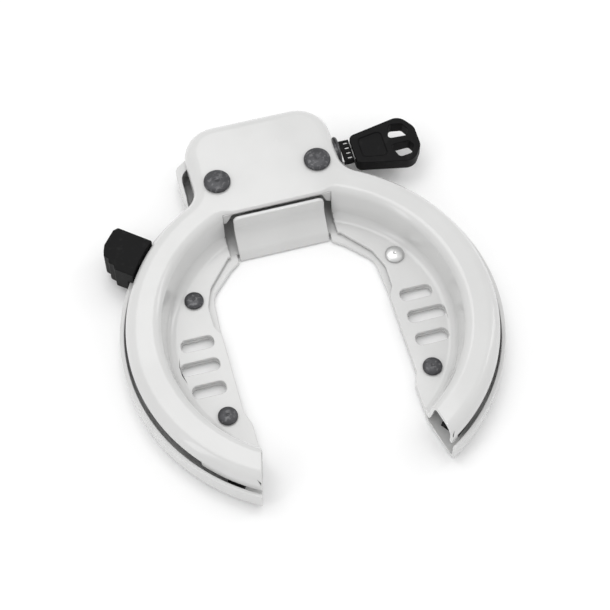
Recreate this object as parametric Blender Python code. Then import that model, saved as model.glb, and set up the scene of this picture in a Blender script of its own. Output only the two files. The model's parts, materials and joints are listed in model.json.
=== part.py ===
"""Frame-mounted ring lock for a bicycle wheel, open, lying on its back.

Metres, +Z out of the lock's front. The origin is on the flat back of the housing. Everything is
placed round the ring's centre, which is an empty below the housing on the Y axis, so that angles
run anticlockwise from +X and the shackle, the knob and the shells share one axis.
"""

from math import acos, asin, atan2, ceil, cos, degrees, pi, radians, sin, sqrt, tan

import bmesh
import bpy
from mathutils import Matrix, Vector

MM = 0.001

# Ring and sheet
RING_BELOW_ORIGIN = 66 * MM
SHEET = 1.6 * MM
SHEET_GAP = 0.3 * MM
FRONT_HEIGHT = 17.5 * MM
MID_HEIGHT = 8.75 * MM
FRONT_WALL_RADIUS = 67.8 * MM
RIM_STEP = 2.4 * MM
RIM_HEIGHT = 9.2 * MM
RIM_FILLET = 3.0 * MM
SLOT_HEIGHT = 12.0 * MM
CREASE_RADIUS = 52.7 * MM
RAMP_RUN = 2.5 * MM
BLANK_RADIUS = 29.5 * MM
ARM_END = radians(-64)

# Housing
HOUSING_HALF_WIDTH = 28.7 * MM
HOUSING_FAR_EDGE = 93.0 * MM
HOUSING_CORNER = 13.0 * MM
FLARE_RADIUS = 10.0 * MM
WINDOW_HALF_WIDTH = 21.0 * MM
WINDOW_WALL = 49.6 * MM
WINDOW_RAMP_SHARE = 0.35
LOBE_STEP = 4.3 * MM

# Shackle and its knob
SHACKLE_CENTRE_RADIUS = 60.8 * MM
SHACKLE_ROD_RADIUS = 4.1 * MM
SHACKLE_TAIL = radians(13)
SHACKLE_TIP = radians(234)
SHACKLE_TRAVEL = radians(75)
KNOB_ANGLE = radians(140.5)
KNOB_SIDES = (-5.6, 11.0)
KNOB_STEPS = [(75.2, 11.0), (76.2, 9.6), (78.4, 9.4), (79.4, 7.8), (81.4, 7.5), (82.4, 5.7)]
KNOB_END = [(83.4, 3.2), (83.4, -3.8), (82.2, -5.6)]
KNOB_GAP = 0.4 * MM
KNOB_HEIGHTS = (3.5 * MM, 15.5 * MM)
CARRIER_REACH = (62.0 * MM, 80.5 * MM)
CARRIER_HALF_WIDTH = 3.6 * MM
CARRIER_HEIGHTS = (9.8 * MM, 11.6 * MM)
KNOB_PIN_RADIUS = 77.0 * MM

# Cylinder, key and latch
CYLINDER_Y = 72.0 * MM
PLUG_RADIUS = 4.1 * MM
PLUG_ENDS = (1.5 * MM, 30.0 * MM)
ECCENTRIC = 2.9 * MM
CRANK_PIN_RADIUS = 1.0 * MM
LATCH_X = (-8.1 * MM, -1.8 * MM)
LATCH_TIP_Y = 65.4 * MM
NOTCH_FLOOR_Y = 62.1 * MM
TUMBLER_X = [9 * MM, 13 * MM, 17 * MM, 21 * MM, 25 * MM]
TUMBLER_THICKNESS = 0.8 * MM
BLADE_HALF_WIDTH = 2.4 * MM
BLADE_HALF_THICKNESS = 0.9 * MM
KEY_HEAD_DROP = 1.2 * MM
KEY_HEAD_HALF = [(35.6, 6.6, 2.5), (57.4, 11.0, 5.0), (61.8, 4.5, 5.0)]
KEY_EYE = [(50.2, 1.7, 1.2), (57.8, 1.3, 1.3), (59.1, 4.0, 1.3), (57.4, 7.2, 1.4), (52.4, 8.0, 1.6)]
KEY_HEAD_HALF_THICKNESS = 2.6 * MM
KEY_SHOULDER = (30.6 * MM, 45.0 * MM)
KEY_SHOULDER_HALF_WIDTH = 4.6 * MM
KEY_CUT_DEPTH = 0.5 * MM

# Rivets and mounting slots
BIG_RIVET = (19.6 * MM, 65.3 * MM)
UPPER_RIVET = (38.9 * MM, 24.9 * MM)
LOWER_RIVET = (38.2 * MM, -24.75 * MM)
MOUNT_SLOTS = [(35.7, 48.0, 7.1), (35.8, 50.3, -2.5), (35.8, 48.3, -12.4)]
MOUNT_SLOT_WIDTH = 5.2 * MM

ROUND_SEGMENTS = 20


# Scene and materials


def clear_scene():
    for thing in list(bpy.data.objects):
        bpy.data.objects.remove(thing, do_unlink=True)


def finish(name, colour, roughness, metallic):
    made = bpy.data.materials.new(name)
    made.use_nodes = True
    shader = made.node_tree.nodes["Principled BSDF"]
    shader.inputs["Base Color"].default_value = (*colour, 1)
    shader.inputs["Roughness"].default_value = roughness
    shader.inputs["Metallic"].default_value = metallic
    return made


clear_scene()
WHITE_COAT = finish("white_powder_coat", (0.86, 0.86, 0.85), 0.32, 0)
DARK_STEEL = finish("dark_rivet_steel", (0.06, 0.06, 0.065), 0.38, 0.9)
BRIGHT_STEEL = finish("bright_steel", (0.62, 0.62, 0.63), 0.28, 1)
SPRING_STEEL = finish("spring_steel", (0.42, 0.42, 0.44), 0.3, 1)
CAST_ZINC = finish("cast_zinc", (0.5, 0.51, 0.52), 0.5, 1)
BRASS = finish("brass", (0.72, 0.55, 0.25), 0.32, 1)
BLACK_PLASTIC = finish("black_plastic", (0.016, 0.016, 0.018), 0.42, 0)

ring_centre = bpy.data.objects.new("ring_centre", None)
ring_centre.location = (0, -RING_BELOW_ORIGIN, 0)
bpy.context.scene.collection.objects.link(ring_centre)


# Outlines


def arc(centre, radius, start, turn, steps):
    """Points along an arc, both ends included."""
    angles = [start + turn * k / steps for k in range(steps + 1)]
    return [(centre[0] + radius * cos(a), centre[1] + radius * sin(a)) for a in angles]


def circle(centre, radius, segments=ROUND_SEGMENTS):
    return arc(centre, radius, 0, 2 * pi, segments)[:-1]


def rounded(corners, closed=True, steps=3):
    """An outline of (x, y, radius) corners, each turned into an arc of its radius."""
    points = []
    last = len(corners) - 1
    for i, (x, y, radius) in enumerate(corners):
        here = Vector((x, y))
        if radius == 0 or (not closed and i in (0, last)):
            points.append((x, y))
            continue
        back = (Vector(corners[i - 1][:2]) - here).normalized()
        on = (Vector(corners[(i + 1) % (last + 1)][:2]) - here).normalized()
        half = back.angle(on) / 2
        centre = here + (back + on).normalized() * radius / sin(half)
        start = here + back * radius / tan(half) - centre
        end = here + on * radius / tan(half) - centre
        first = atan2(start.y, start.x)
        turn = (atan2(end.y, end.x) - first + pi) % (2 * pi) - pi
        points += arc(centre, radius, first, turn, steps)
    return points


def mirrored(right_half):
    """A closed outline from its right half, listed from bottom to top."""
    return right_half + [(-x, y) for x, y in reversed(right_half)]


def slot_outline(low_x, high_x, y, width, corner):
    low, high = y - width / 2, y + width / 2
    return rounded(
        [(low_x, low, corner), (high_x, low, corner), (high_x, high, corner), (low_x, high, corner)]
    )


# Meshes


def new_object(name, bm, surface=None, smooth=35):
    """An object under the ring's centre from a finished bmesh, with its faces turned outwards."""
    bmesh.ops.recalc_face_normals(bm, faces=bm.faces)
    mesh = bpy.data.meshes.new(name)
    bm.to_mesh(mesh)
    bm.free()
    made = bpy.data.objects.new(name, mesh)
    bpy.context.scene.collection.objects.link(made)
    made.parent = ring_centre
    if surface:
        mesh.materials.append(surface)
        mesh.shade_smooth()
        mesh.set_sharp_from_angle(angle=radians(smooth))
    return made


def loft(bm, sections, closed=False):
    """Skins a row of matching closed sections, with caps at both ends unless it runs full circle."""
    rows = [[bm.verts.new(p) for p in section] for section in sections]
    pairs = list(zip(rows, rows[1:] + rows[:1])) if closed else list(zip(rows, rows[1:]))
    for row, following in pairs:
        for k in range(len(row)):
            j = (k + 1) % len(row)
            bm.faces.new((row[k], row[j], following[j], following[k]))
    if not closed:
        bm.faces.new(rows[0])
        bm.faces.new(rows[-1])
    return bm


def prism(bm, outline, low, high):
    """A closed outline in the XY plane, raised from low to high."""
    return loft(bm, [[(x, y, z) for x, y in outline] for z in (low, high)])


def block(bm, xs, ys, zs):
    return prism(bm, [(xs[0], ys[0]), (xs[1], ys[0]), (xs[1], ys[1]), (xs[0], ys[1])], *zs)


def turned(bm, profile, segments=ROUND_SEGMENTS, place=Matrix.Identity(4)):
    """A solid turned about its own Z from (radius, height) points that start and end on the axis."""
    inner = profile[1:-1]
    rows = []
    for s in range(segments):
        a = 2 * pi * s / segments
        rows.append([bm.verts.new(place @ Vector((r * cos(a), r * sin(a), z))) for r, z in inner])
    ends = [bm.verts.new(place @ Vector((0, 0, profile[k][1]))) for k in (0, -1)]
    for row, following in zip(rows, rows[1:] + rows[:1]):
        for k in range(len(inner) - 1):
            bm.faces.new((row[k], following[k], following[k + 1], row[k + 1]))
        bm.faces.new((ends[0], following[0], row[0]))
        bm.faces.new((ends[1], row[-1], following[-1]))
    return bm


def tube(bm, profile, segments=ROUND_SEGMENTS, place=Matrix.Identity(4)):
    """A ring turned about its own Z from a closed (radius, height) section clear of the axis."""
    sections = []
    for s in range(segments):
        a = 2 * pi * s / segments
        sections.append([place @ Vector((r * cos(a), r * sin(a), z)) for r, z in profile])
    return loft(bm, sections, closed=True)


def along_x(x=0.0, y=CYLINDER_Y, z=MID_HEIGHT):
    """A place whose Z axis points along the lock's +X, on the cylinder's axis unless told."""
    return Matrix.Translation((x, y, z)) @ Matrix.Rotation(pi / 2, 4, "Y")


def swept_round_ring(bm, section, angles):
    """A (radius, height) section carried round the ring's centre through the angles."""
    return loft(bm, [[(r * cos(a), r * sin(a), z) for r, z in section] for a in angles])


def coil(bm, centre_line, coil_radius, wire_radius, turns, steps=10, wire_sides=5):
    """A closed round wire wound about a centre line, given as a function of 0..1 to (point, u, v)."""
    count = int(turns * steps)

    def wire_point(k):
        point, u, v = centre_line(k / count)
        a = 2 * pi * turns * k / count
        return point + coil_radius * (u * cos(a) + v * sin(a)), u * cos(a) + v * sin(a)

    sections = []
    for k in range(count + 1):
        here, outward = wire_point(k)
        ahead = (wire_point(k + 1)[0] - wire_point(k - 1)[0]).normalized()
        side = ahead.cross(outward).normalized()
        lift = side.cross(ahead)
        ring = [2 * pi * s / wire_sides for s in range(wire_sides)]
        sections.append([here + wire_radius * (lift * cos(a) + side * sin(a)) for a in ring])
    return loft(bm, sections)


def cut(target, *bodies):
    """Removes the hidden cutters from the target, all in one Boolean."""
    joined = bmesh.new()
    for body in bodies:
        body.verts.ensure_lookup_table()
        bmesh.ops.recalc_face_normals(body, faces=body.faces)
        spare = bpy.data.meshes.new("spare")
        body.to_mesh(spare)
        body.free()
        joined.from_mesh(spare)
        bpy.data.meshes.remove(spare)
    mesh = bpy.data.meshes.new(target.name + "_cutter")
    joined.to_mesh(mesh)
    joined.free()
    helper = bpy.data.objects.new(target.name + "_cutter", mesh)
    bpy.context.scene.collection.objects.link(helper)
    helper.parent = ring_centre
    helper.hide_render = True
    helper.display_type = "WIRE"
    boolean = target.modifiers.new("cut", "BOOLEAN")
    boolean.operation = "DIFFERENCE"
    boolean.use_self = True
    boolean.object = helper


def at_angle(bm, angle):
    """Turns a body, modelled along +X, round the ring's centre."""
    bmesh.ops.rotate(bm, verts=bm.verts, cent=(0, 0, 0), matrix=Matrix.Rotation(angle, 3, "Z"))
    return bm


# The shells' shared outline, as a distance from the ring's centre at each angle


def to_circle(angle, centre, radius, near):
    """Distance along a ray from the ring's centre to a circle's near or far side."""
    along = centre[0] * cos(angle) + centre[1] * sin(angle)
    depth = sqrt(radius**2 - (centre[0] ** 2 + centre[1] ** 2 - along**2))
    return along - depth if near else along + depth


def right_side(angle):
    """The same angle folded onto the right half."""
    return angle if angle <= pi / 2 else pi - angle


FLARE_CENTRE = (
    HOUSING_HALF_WIDTH + FLARE_RADIUS,
    sqrt((FRONT_WALL_RADIUS + FLARE_RADIUS) ** 2 - (HOUSING_HALF_WIDTH + FLARE_RADIUS) ** 2),
)
CORNER_CENTRE = (HOUSING_HALF_WIDTH - HOUSING_CORNER, HOUSING_FAR_EDGE - HOUSING_CORNER)


def outline_radius(angle, inset):
    """The raised body's outer edge, moved in by inset everywhere."""
    a = right_side(angle)
    half_width, far_edge = HOUSING_HALF_WIDTH - inset, HOUSING_FAR_EDGE - inset
    if a <= atan2(FLARE_CENTRE[1], FLARE_CENTRE[0]):
        return FRONT_WALL_RADIUS - inset
    if a <= atan2(FLARE_CENTRE[1], half_width):
        return to_circle(a, FLARE_CENTRE, FLARE_RADIUS + inset, near=True)
    if a <= atan2(CORNER_CENTRE[1], half_width):
        return half_width / cos(a)
    if a <= atan2(far_edge, CORNER_CENTRE[0]):
        return to_circle(a, CORNER_CENTRE, HOUSING_CORNER - inset, near=False)
    return far_edge / sin(a)


def smooth_step(low, high, value):
    t = min(1, max(0, (value - low) / (high - low)))
    return t * t * (3 - 2 * t)


def ramp_radius(angle, radius):
    """The inner ramp follows the ring, and runs straight and steep behind the guard plate."""
    a = right_side(angle)
    straight = (WINDOW_WALL + WINDOW_RAMP_SHARE * (radius - CREASE_RADIUS)) / sin(max(a, 1))
    share = smooth_step(radians(64), radians(72), a)
    return radius * (1 - share) + straight * share


def rim_step(angle):
    """How far the back shell's rim stands outside the front wall: flush at the housing, with a lobe."""
    a = degrees(right_side(angle))
    step = RIM_STEP * (1 - smooth_step(55, 62, a))
    if angle > pi / 2:
        step += LOBE_STEP * smooth_step(61, 64.5, a) * (1 - smooth_step(67, 72.5, a))
    return step


def stations():
    """Angles from the right arm's end to the left's, close together where the housing turns."""
    arm = [ARM_END + (radians(56) - ARM_END) * k / 21 for k in range(22)]
    bends = (58, 60, 61.5, 63, 64.5, 66, 67.2, 68.4, 69.6, 70.8, 72.3, 74, 76, 78.2, 80.6, 85)
    half = arm + [radians(a) for a in bends]
    return half + [pi / 2] + [pi - a for a in reversed(half)]


def shell_body(profile, place):
    """A pressed sheet: a closed (radius, height) section carried round, with place bending it."""
    sections = []
    for angle in stations():
        section = []
        for radius, z in profile:
            r = place(angle, radius)
            section.append((r * cos(angle), r * sin(angle), z))
        sections.append(section)
    return loft(bmesh.new(), sections)


def opening_cutter(wheel_edge):
    """The wheel's U-shaped opening, whose lower ends also trim the arms' mouths."""
    ends = [(36.5, -68.0, 0), (34.0, -58.0, 0), (30.5, -44.0, 0), (30.4, -29.5, 3), (32.2, -24.5, 3)]
    half = rounded([(x * MM, y * MM, r * MM) for x, y, r in ends + wheel_edge], closed=False)
    return prism(bmesh.new(), mirrored(half), -5 * MM, 25 * MM)


def rivet_places():
    return [(side * x, y) for x, y in (UPPER_RIVET, LOWER_RIVET) for side in (-1, 1)]


def slot_cutters():
    cutters = []
    for low, high, y in MOUNT_SLOTS:
        for side in (-1, 1):
            outline = slot_outline(low * MM, high * MM, y * MM, MOUNT_SLOT_WIDTH, 2 * MM)
            cutters.append(prism(bmesh.new(), [(side * px, py) for px, py in outline], -2 * MM, 6 * MM))
    return cutters


def hole(x, y, radius, low=-2 * MM, high=25 * MM):
    return prism(bmesh.new(), circle((x, y), radius, 16), low, high)


def make_front_shell():
    lower = SHEET + SHEET_GAP
    upper = lower + SHEET
    wall = FRONT_WALL_RADIUS
    foot = RIM_HEIGHT + SHEET_GAP
    slope = RAMP_RUN / (FRONT_HEIGHT - upper)
    shift = SHEET * sqrt(1 + slope**2)

    def under(z):
        return CREASE_RADIUS + slope * (z - upper) + shift

    top, roof = FRONT_HEIGHT, FRONT_HEIGHT - SHEET
    outside = [(BLANK_RADIUS, upper, 0), (CREASE_RADIUS, upper, 2.4 * MM)]
    outside += [(CREASE_RADIUS + RAMP_RUN, top, 3.4 * MM), (wall, top, 4.6 * MM), (wall, foot, 0)]
    inside = [(wall - SHEET, foot, 0), (wall - SHEET, roof, 3 * MM), (under(roof), roof, 1.8 * MM)]
    inside += [(under(lower), lower, 4 * MM), (BLANK_RADIUS, lower, 0)]
    profile = rounded(outside, closed=False) + rounded(inside, closed=False)

    def place(angle, radius):
        if radius < CREASE_RADIUS - 5 * MM:
            return radius
        if radius < SHACKLE_CENTRE_RADIUS:
            return ramp_radius(angle, radius)
        return outline_radius(angle, FRONT_WALL_RADIUS - radius)

    shell = new_object("front_shell", shell_body(profile, place), WHITE_COAT)
    edge = [(32.2, 8.5, 2), (34.2, 12.5, 3), (34.3, 21.5, 6), (31.5, 29.3, 6), (22.0, 40.5, 0)]
    cutters = [opening_cutter(edge), *slot_cutters(), side_hole_cutter()]
    width = WINDOW_HALF_WIDTH
    cutters.append(block(bmesh.new(), (-width, width), (35 * MM, 51 * MM), (0, roof + 0.2 * MM)))
    cutters += [hole(x, y, 2.3 * MM) for x, y in rivet_places()]
    cutters += [hole(side * BIG_RIVET[0], BIG_RIVET[1], 2.05 * MM) for side in (-1, 1)]
    for first, last in ((130, 220), (303, 345)):
        angles = [radians(first + (last - first) * k / 16) for k in range(17)]
        band = [(64, 5), (72, 5), (72, SLOT_HEIGHT / MM), (64, SLOT_HEIGHT / MM)]
        cutters.append(swept_round_ring(bmesh.new(), [(r * MM, z * MM) for r, z in band], angles))
    cut(shell, *cutters)


def side_hole_cutter():
    """The round hole in the housing's right wall, shared by both shells."""
    outline = circle((0, 0), 6.3 * MM, 24)
    body = prism(bmesh.new(), outline, -4 * MM, 6 * MM)
    bmesh.ops.transform(body, matrix=along_x(HOUSING_HALF_WIDTH), verts=body.verts)
    return body


def make_back_shell():
    rim_inside = FRONT_WALL_RADIUS + RIM_STEP - SHEET
    rim_outside = FRONT_WALL_RADIUS + RIM_STEP
    outside = [(BLANK_RADIUS, 0, 0), (rim_outside, 0, RIM_FILLET), (rim_outside, RIM_HEIGHT, 0)]
    inside = [(rim_inside, RIM_HEIGHT, 0), (rim_inside, SHEET, RIM_FILLET - SHEET)]
    inside += [(BLANK_RADIUS, SHEET, 0)]
    profile = rounded(outside, closed=False) + rounded(inside, closed=False)

    def place(angle, radius):
        if radius < SHACKLE_CENTRE_RADIUS:
            return radius
        return outline_radius(angle, FRONT_WALL_RADIUS - radius + RIM_STEP - rim_step(angle))

    shell = new_object("back_shell", shell_body(profile, place), WHITE_COAT)
    edge = [(32.2, 12.0, 8), (31.4, 26.0, 8), (22.4, 35.5, 8), (18.3, 38.6, 0), (18.3, 42.2, 0)]
    cutters = [opening_cutter(edge), *slot_cutters(), side_hole_cutter()]
    for x, y in rivet_places():
        cutters.append(countersunk_hole(x, y, 2.3 * MM, 3.5 * MM))
    for side in (-1, 1):
        cutters.append(countersunk_hole(side * BIG_RIVET[0], BIG_RIVET[1], 2.05 * MM, 3.2 * MM))
    cut(shell, *cutters)


def countersunk_hole(x, y, radius, mouth):
    under, throat, over = -1 * MM, 1.3 * MM, 3 * MM
    profile = [(0, under), (mouth + 0.8 * MM, under), (radius, throat), (radius, over), (0, over)]
    return turned(bmesh.new(), profile, 16, Matrix.Translation((x, y, 0)))


def make_guard_plate():
    """Bent shield between the tyre and the mechanism, welded along the back shell's edge."""
    half_width = 17.6 * MM
    front = [(48.0, 16.0, 0), (47.3, 9.0, 6), (41.0, 3.6, 5), (39.4, 0.2, 0)]
    back = [(41.0, 0.2, 0), (42.2, 2.7, 3.4), (48.9, 8.4, 7.6), (49.6, 16.0, 0)]
    outline = [
        (y * MM, z * MM) for side in (front, back) for y, z in rounded(side, closed=False)
    ]
    ends = [[(x, y, z) for y, z in outline] for x in (-half_width, half_width)]
    new_object("guard_plate", loft(bmesh.new(), ends), WHITE_COAT)


# Rivets


def make_rivet(name, x, y, shank, head, head_height, seat, tail, surface):
    """A domed rivet whose tail is closed flush in the back shell's countersink."""
    quarter = [radians(90 * k / 4) for k in range(1, 4)]
    rise = [(head * sin(a), seat + head_height * cos(a)) for a in quarter]
    profile = [(0, 0.2 * MM), (tail, 0.2 * MM), (shank, 1.55 * MM), (shank, seat), (head, seat)]
    profile += [(head, seat + 0.35 * head_height)]
    profile += [(r, z) for r, z in reversed(rise) if z > seat + 0.4 * head_height]
    profile += [(0, seat + head_height)]
    place = Matrix.Translation((x, y, 0))
    new_object(name, turned(bmesh.new(), profile, ROUND_SEGMENTS, place), surface)


def make_rivets():
    seat = 2 * SHEET + SHEET_GAP + 0.25 * MM
    for name, (x, y) in (("upper", UPPER_RIVET), ("lower", LOWER_RIVET)):
        for hand, side in (("left", -1), ("right", 1)):
            surface = BRIGHT_STEEL if (name, hand) == ("upper", "right") else DARK_STEEL
            label = f"flange_rivet_{name}_{hand}"
            make_rivet(label, side * x, y, 2.0 * MM, 3.6 * MM, 1.6 * MM, seat, 3.0 * MM, surface)
    seat = FRONT_HEIGHT + 0.25 * MM
    for hand, side in (("left", -1), ("right", 1)):
        label = f"housing_rivet_{hand}"
        x, y = side * BIG_RIVET[0], BIG_RIVET[1]
        make_rivet(label, x, y, 1.75 * MM, 5.1 * MM, 2.0 * MM, seat, 2.7 * MM, DARK_STEEL)
    low, high = SHEET + SHEET_GAP, FRONT_HEIGHT - SHEET - SHEET_GAP
    section = [(2.05 * MM, low), (2.9 * MM, low), (2.9 * MM, high), (2.05 * MM, high)]
    place = Matrix.Translation((-BIG_RIVET[0], BIG_RIVET[1], 0))
    new_object("rivet_spacer", tube(bmesh.new(), section, 16, place), BRIGHT_STEEL)


# Shackle, its knob, guides and return spring


def shackle_point(share, start, end):
    """A point on the shackle's centre line with the outward and upward directions there."""
    a = start + (end - start) * share
    outward = Vector((cos(a), sin(a), 0))
    point = SHACKLE_CENTRE_RADIUS * outward + Vector((0, 0, MID_HEIGHT))
    return point, outward, Vector((0, 0, 1))


def notch_cutter(turn):
    """Where the latch's nose drops into the shackle, turned back by the shackle's travel."""
    xs = (LATCH_X[0] - 0.5 * MM, LATCH_X[1] + 0.5 * MM)
    body = block(bmesh.new(), xs, (NOTCH_FLOOR_Y, 68 * MM), (5.7 * MM, 11.8 * MM))
    return at_angle(body, turn)


def make_shackle():
    steps = ceil((SHACKLE_TIP - SHACKLE_TAIL) / radians(5))
    sections = []
    places = [(k / steps, SHACKLE_ROD_RADIUS) for k in range(steps)]
    tip_share = radians(2.4) / (SHACKLE_TIP - SHACKLE_TAIL)
    places += [(1 - tip_share, SHACKLE_ROD_RADIUS), (1 - tip_share / 3, 3.5 * MM), (1, 2.2 * MM)]
    for share, radius in places:
        point, outward, up = shackle_point(share, SHACKLE_TAIL, SHACKLE_TIP)
        ring = [2 * pi * s / 14 for s in range(14)]
        sections.append([point + radius * (outward * cos(a) + up * sin(a)) for a in ring])
    rod = new_object("shackle_rod", loft(bmesh.new(), sections), BRIGHT_STEEL, smooth=50)
    seat_width = CARRIER_HALF_WIDTH + 0.3 * MM
    seat = block(
        bmesh.new(),
        (61.7 * MM, 70 * MM),
        (-seat_width, seat_width),
        (CARRIER_HEIGHTS[0] - 0.3 * MM, CARRIER_HEIGHTS[1] + 0.3 * MM),
    )
    cut(rod, notch_cutter(0), notch_cutter(-SHACKLE_TRAVEL), at_angle(seat, KNOB_ANGLE))


def make_knob():
    ys = (-CARRIER_HALF_WIDTH, CARRIER_HALF_WIDTH)
    carrier = block(bmesh.new(), CARRIER_REACH, ys, CARRIER_HEIGHTS)
    carrier = new_object("knob_carrier", at_angle(carrier, KNOB_ANGLE), BRIGHT_STEEL)
    pin_place = (KNOB_PIN_RADIUS * cos(KNOB_ANGLE), KNOB_PIN_RADIUS * sin(KNOB_ANGLE))
    cut(carrier, hole(*pin_place, 1.3 * MM))

    low, high = KNOB_HEIGHTS
    inner = FRONT_WALL_RADIUS + KNOB_GAP
    first, last = (asin(y * MM / inner) for y in KNOB_SIDES)
    outline = arc((0, 0), inner, first, last - first, 6)
    outline += [(x * MM, y * MM) for x, y in KNOB_STEPS + KNOB_END]
    body = at_angle(prism(bmesh.new(), outline, low, high), KNOB_ANGLE)
    knob = new_object("shackle_knob", body, BLACK_PLASTIC)
    gap = 0.3 * MM
    pocket = block(
        bmesh.new(),
        (inner - 2 * MM, CARRIER_REACH[1] + gap),
        (ys[0] - gap, ys[1] + gap),
        (CARRIER_HEIGHTS[0] - gap, CARRIER_HEIGHTS[1] + gap),
    )
    rim = FRONT_WALL_RADIUS + RIM_STEP + KNOB_GAP
    band = [(inner - 4 * MM, low - 1 * MM), (rim, low - 1 * MM), (rim, RIM_HEIGHT + KNOB_GAP)]
    band += [(inner - 4 * MM, RIM_HEIGHT + KNOB_GAP)]
    over_rim = swept_round_ring(bmesh.new(), band, [radians(125 + 3 * k) for k in range(11)])
    pin_hole = hole(*pin_place, 1.3 * MM, high=14.0 * MM)
    cut(knob, at_angle(pocket, KNOB_ANGLE), over_rim, pin_hole)
    pin = prism(bmesh.new(), circle(pin_place, 1.0 * MM, 12), low + 0.5 * MM, 13.7 * MM)
    new_object("knob_pin", pin, SPRING_STEEL)


def make_guide_bushes():
    """Open-sided plastic guides that steady the shackle inside each arm's mouth."""
    low, high = SHEET + SHEET_GAP, FRONT_HEIGHT - SHEET - SHEET_GAP
    outer = FRONT_WALL_RADIUS - SHEET - SHEET_GAP
    bore = SHACKLE_ROD_RADIUS + 0.25 * MM
    centre = (SHACKLE_CENTRE_RADIUS, MID_HEIGHT)
    top = high - 0.2 * MM
    section = [(58.4 * MM, low), (outer, low), (outer, top - 3 * MM), (outer - 2.6 * MM, top)]
    section += [(58.4 * MM, top)]
    section += arc(centre, bore, radians(118), radians(-236), 12)
    for hand, first in (("left", 228), ("right", -54)):
        angles = [radians(first + 5.5 * k / 2) for k in range(3)]
        new_object(f"guide_bush_{hand}", swept_round_ring(bmesh.new(), section, angles), BLACK_PLASTIC)


def make_return_spring():
    anchor = radians(-22)

    def centre_line(share):
        return shackle_point(share, radians(-19), SHACKLE_TAIL - radians(1))

    wire = coil(bmesh.new(), centre_line, 3.0 * MM, 0.45 * MM, 12)
    new_object("return_spring", wire, SPRING_STEEL, smooth=60)
    outward = SHACKLE_CENTRE_RADIUS * Vector((cos(anchor), sin(anchor)))
    low, high = SHEET + SHEET_GAP, FRONT_HEIGHT - SHEET - SHEET_GAP
    post = prism(bmesh.new(), circle(outward, 1.4 * MM, 14), low, high)
    new_object("spring_anchor", post, SPRING_STEEL)


# Lock body, cylinder, tumblers, key and latch


def make_lock_body():
    """Die-cast block that carries the cylinder and the latch, held by the right housing rivet."""
    face = 65.5 * MM
    left, right, far = -12.5 * MM, 25.0 * MM, 87.0 * MM
    start, end = acos(left / face), acos(right / face)
    outline = arc((0, 0), face, start, end - start, 10)
    outline += [(right, 70 * MM)] + arc((right - 10 * MM, far - 10 * MM), 10 * MM, 0, pi / 2, 5)
    outline += [(left, far)]
    low, high = SHEET + SHEET_GAP, FRONT_HEIGHT - SHEET - SHEET_GAP
    body = new_object("lock_body", prism(bmesh.new(), outline, low, high), CAST_ZINC)
    bore_outline = circle((0, 0), PLUG_RADIUS + 0.15 * MM, 24)
    bore = prism(bmesh.new(), bore_outline, LATCH_X[1] - 1 * MM, 30 * MM)
    bmesh.ops.transform(bore, matrix=along_x(), verts=bore.verts)
    chamber_x = (LATCH_X[0] - 0.3 * MM, LATCH_X[1] + 0.3 * MM)
    chamber = block(bmesh.new(), chamber_x, (58 * MM, 85.6 * MM), (2.7 * MM, 12.6 * MM))
    grooves_x = (TUMBLER_X[0] - 1.5 * MM, TUMBLER_X[-1] + 1.1 * MM)
    wide = 2.9 * MM
    reach = PLUG_RADIUS + 1.3 * MM
    open_groove = block(
        bmesh.new(), grooves_x, (CYLINDER_Y, CYLINDER_Y + reach), (MID_HEIGHT - wide, MID_HEIGHT + wide)
    )
    locked_groove = block(
        bmesh.new(), grooves_x, (CYLINDER_Y - wide, CYLINDER_Y + wide), (MID_HEIGHT - reach, MID_HEIGHT)
    )
    rivet_hole = hole(*BIG_RIVET, 2.05 * MM)
    cut(body, bore, chamber, open_groove, locked_groove, rivet_hole)


def make_cylinder():
    collar = [(4.35, 25.4), (6.0, 25.4), (6.0, 29.25), (6.9, 29.25), (6.9, 29.8), (6.5, 30.2)]
    section = [(r * MM, x * MM) for r, x in collar + [(4.35, 30.2)]]
    new_object("cylinder_collar", tube(bmesh.new(), section, 24, along_x()), DARK_STEEL)

    low, high = PLUG_ENDS
    plug_body = prism(bmesh.new(), circle((0, 0), PLUG_RADIUS, 24), low, high)
    bmesh.ops.transform(plug_body, matrix=along_x(), verts=plug_body.verts)
    plug = new_object("cylinder_plug", plug_body, BRASS)
    blade_width = BLADE_HALF_WIDTH + 0.25 * MM
    blade_thickness = BLADE_HALF_THICKNESS + 0.25 * MM
    keyway = block(
        bmesh.new(),
        (4.5 * MM, 32 * MM),
        (CYLINDER_Y - blade_width, CYLINDER_Y + blade_width),
        (MID_HEIGHT - blade_thickness, MID_HEIGHT + blade_thickness),
    )
    cutters = [keyway]
    slot = TUMBLER_THICKNESS / 2 + 0.2 * MM
    tall = 2.5 * MM
    ys = (CYLINDER_Y - 6 * MM, CYLINDER_Y + 6 * MM)
    zs = (MID_HEIGHT - tall, MID_HEIGHT + tall)
    for x in TUMBLER_X:
        cutters.append(block(bmesh.new(), (x - slot, x + slot), ys, zs))
    cut(plug, *cutters)

    crank = prism(bmesh.new(), circle((0, 0), PLUG_RADIUS, 24), -1.1 * MM, 1.2 * MM)
    bmesh.ops.transform(crank, matrix=along_x(), verts=crank.verts)
    disc = new_object("cylinder_crank", crank, SPRING_STEEL)
    pin = prism(bmesh.new(), circle((0, 0), CRANK_PIN_RADIUS, 12), LATCH_X[0] + 0.3 * MM, 0.5 * MM)
    bmesh.ops.transform(pin, matrix=along_x(y=CYLINDER_Y + ECCENTRIC), verts=pin.verts)
    helper = new_object("cylinder_crank_pin", pin)
    helper.hide_render = True
    helper.display_type = "WIRE"
    joined = disc.modifiers.new("pin", "BOOLEAN")
    joined.operation = "UNION"
    joined.object = helper


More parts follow.
